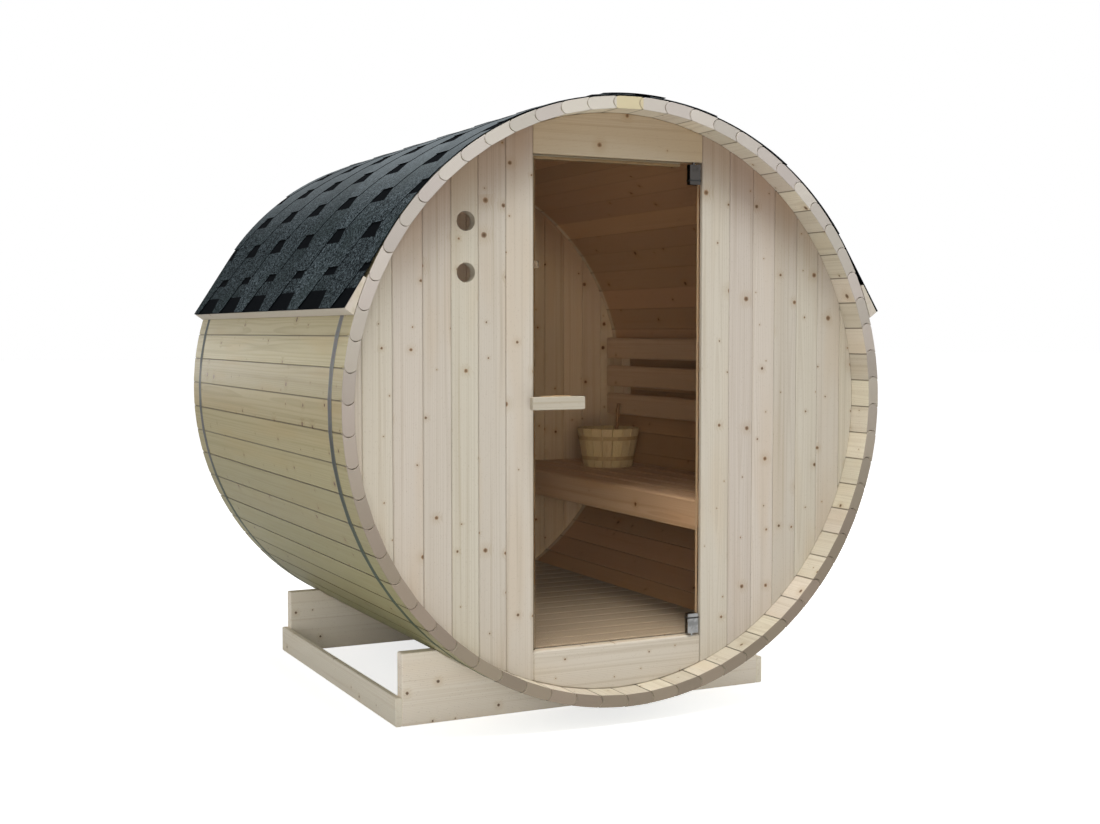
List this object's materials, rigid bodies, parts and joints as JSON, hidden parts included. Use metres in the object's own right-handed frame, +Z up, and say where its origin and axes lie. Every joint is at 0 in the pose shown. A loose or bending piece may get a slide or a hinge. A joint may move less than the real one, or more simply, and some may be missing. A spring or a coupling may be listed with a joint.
{
  "type": "barrel sauna",
  "caption": "Outdoor barrel sauna of coopered staves on a timber cradle, with a bronze glass door and a shingle roof.",
  "frame": {"origin": "on the ground below the middle of the barrel", "axes": "+X to the right seen from the door, +Y from the door to the rear end, +Z up"},
  "size_m": [1.9044, 1.85, 1.9755],
  "materials": {
    "stave_wood": "planed",
    "wall_wood": "planed",
    "inner_wood": "planed",
    "handle_wood": "planed",
    "cradle_wood": "sawn",
    "strap_steel": "galvanised",
    "hinge_metal": "polished",
    "tinted_glass": "bronze tint",
    "shingle": "granulated bitumen"
  },
  "bodies": {
    "sauna": {"barrel_staves_top": "stave_wood", "barrel_staves_upper_right": "stave_wood", "barrel_staves_right": "stave_wood", "barrel_staves_lower_right": "stave_wood", "barrel_staves_bottom": "stave_wood", "barrel_staves_lower_left": "stave_wood", "barrel_staves_left": "stave_wood", "barrel_staves_upper_left": "stave_wood", "front_wall_left": "wall_wood", "front_wall_right": "wall_wood", "front_header": "wall_wood", "front_sill": "wall_wood", "rear_wall": "wall_wood", "door_stop_strips": "wall_wood", "floor_boards": "inner_wood", "floor_bearers": "inner_wood", "bench_slats": "inner_wood", "bench_front_board": "inner_wood", "bench_bearers": "inner_wood", "backrest_slats": "inner_wood", "backrest_posts": "inner_wood", "water_bucket": "inner_wood", "water_ladle": "inner_wood", "cradle_front_board": "cradle_wood", "cradle_rear_board": "cradle_wood", "cradle_left_board": "cradle_wood", "cradle_right_board": "cradle_wood", "left_eave_strip": "cradle_wood", "right_eave_strip": "cradle_wood", "front_hoop": "strap_steel", "rear_hoop": "strap_steel", "hinge_pivots": "hinge_metal", "door_catch": "hinge_metal", "roof_left_courses": "shingle", "roof_right_courses": "shingle", "roof_ridge_cap": "shingle"},
    "door": {"door_glass": "tinted_glass", "door_handle": "handle_wood", "door_inner_handle": "handle_wood", "hinge_clamps": "hinge_metal"}
  },
  "joints": [
    {"name": "door_swing", "type": "hinge", "parent": "sauna", "child": "door", "pos_m": [0.275, -0.824, 1.01], "axis": [0, 0, 1], "range_deg": [0, 120]}
  ]
}
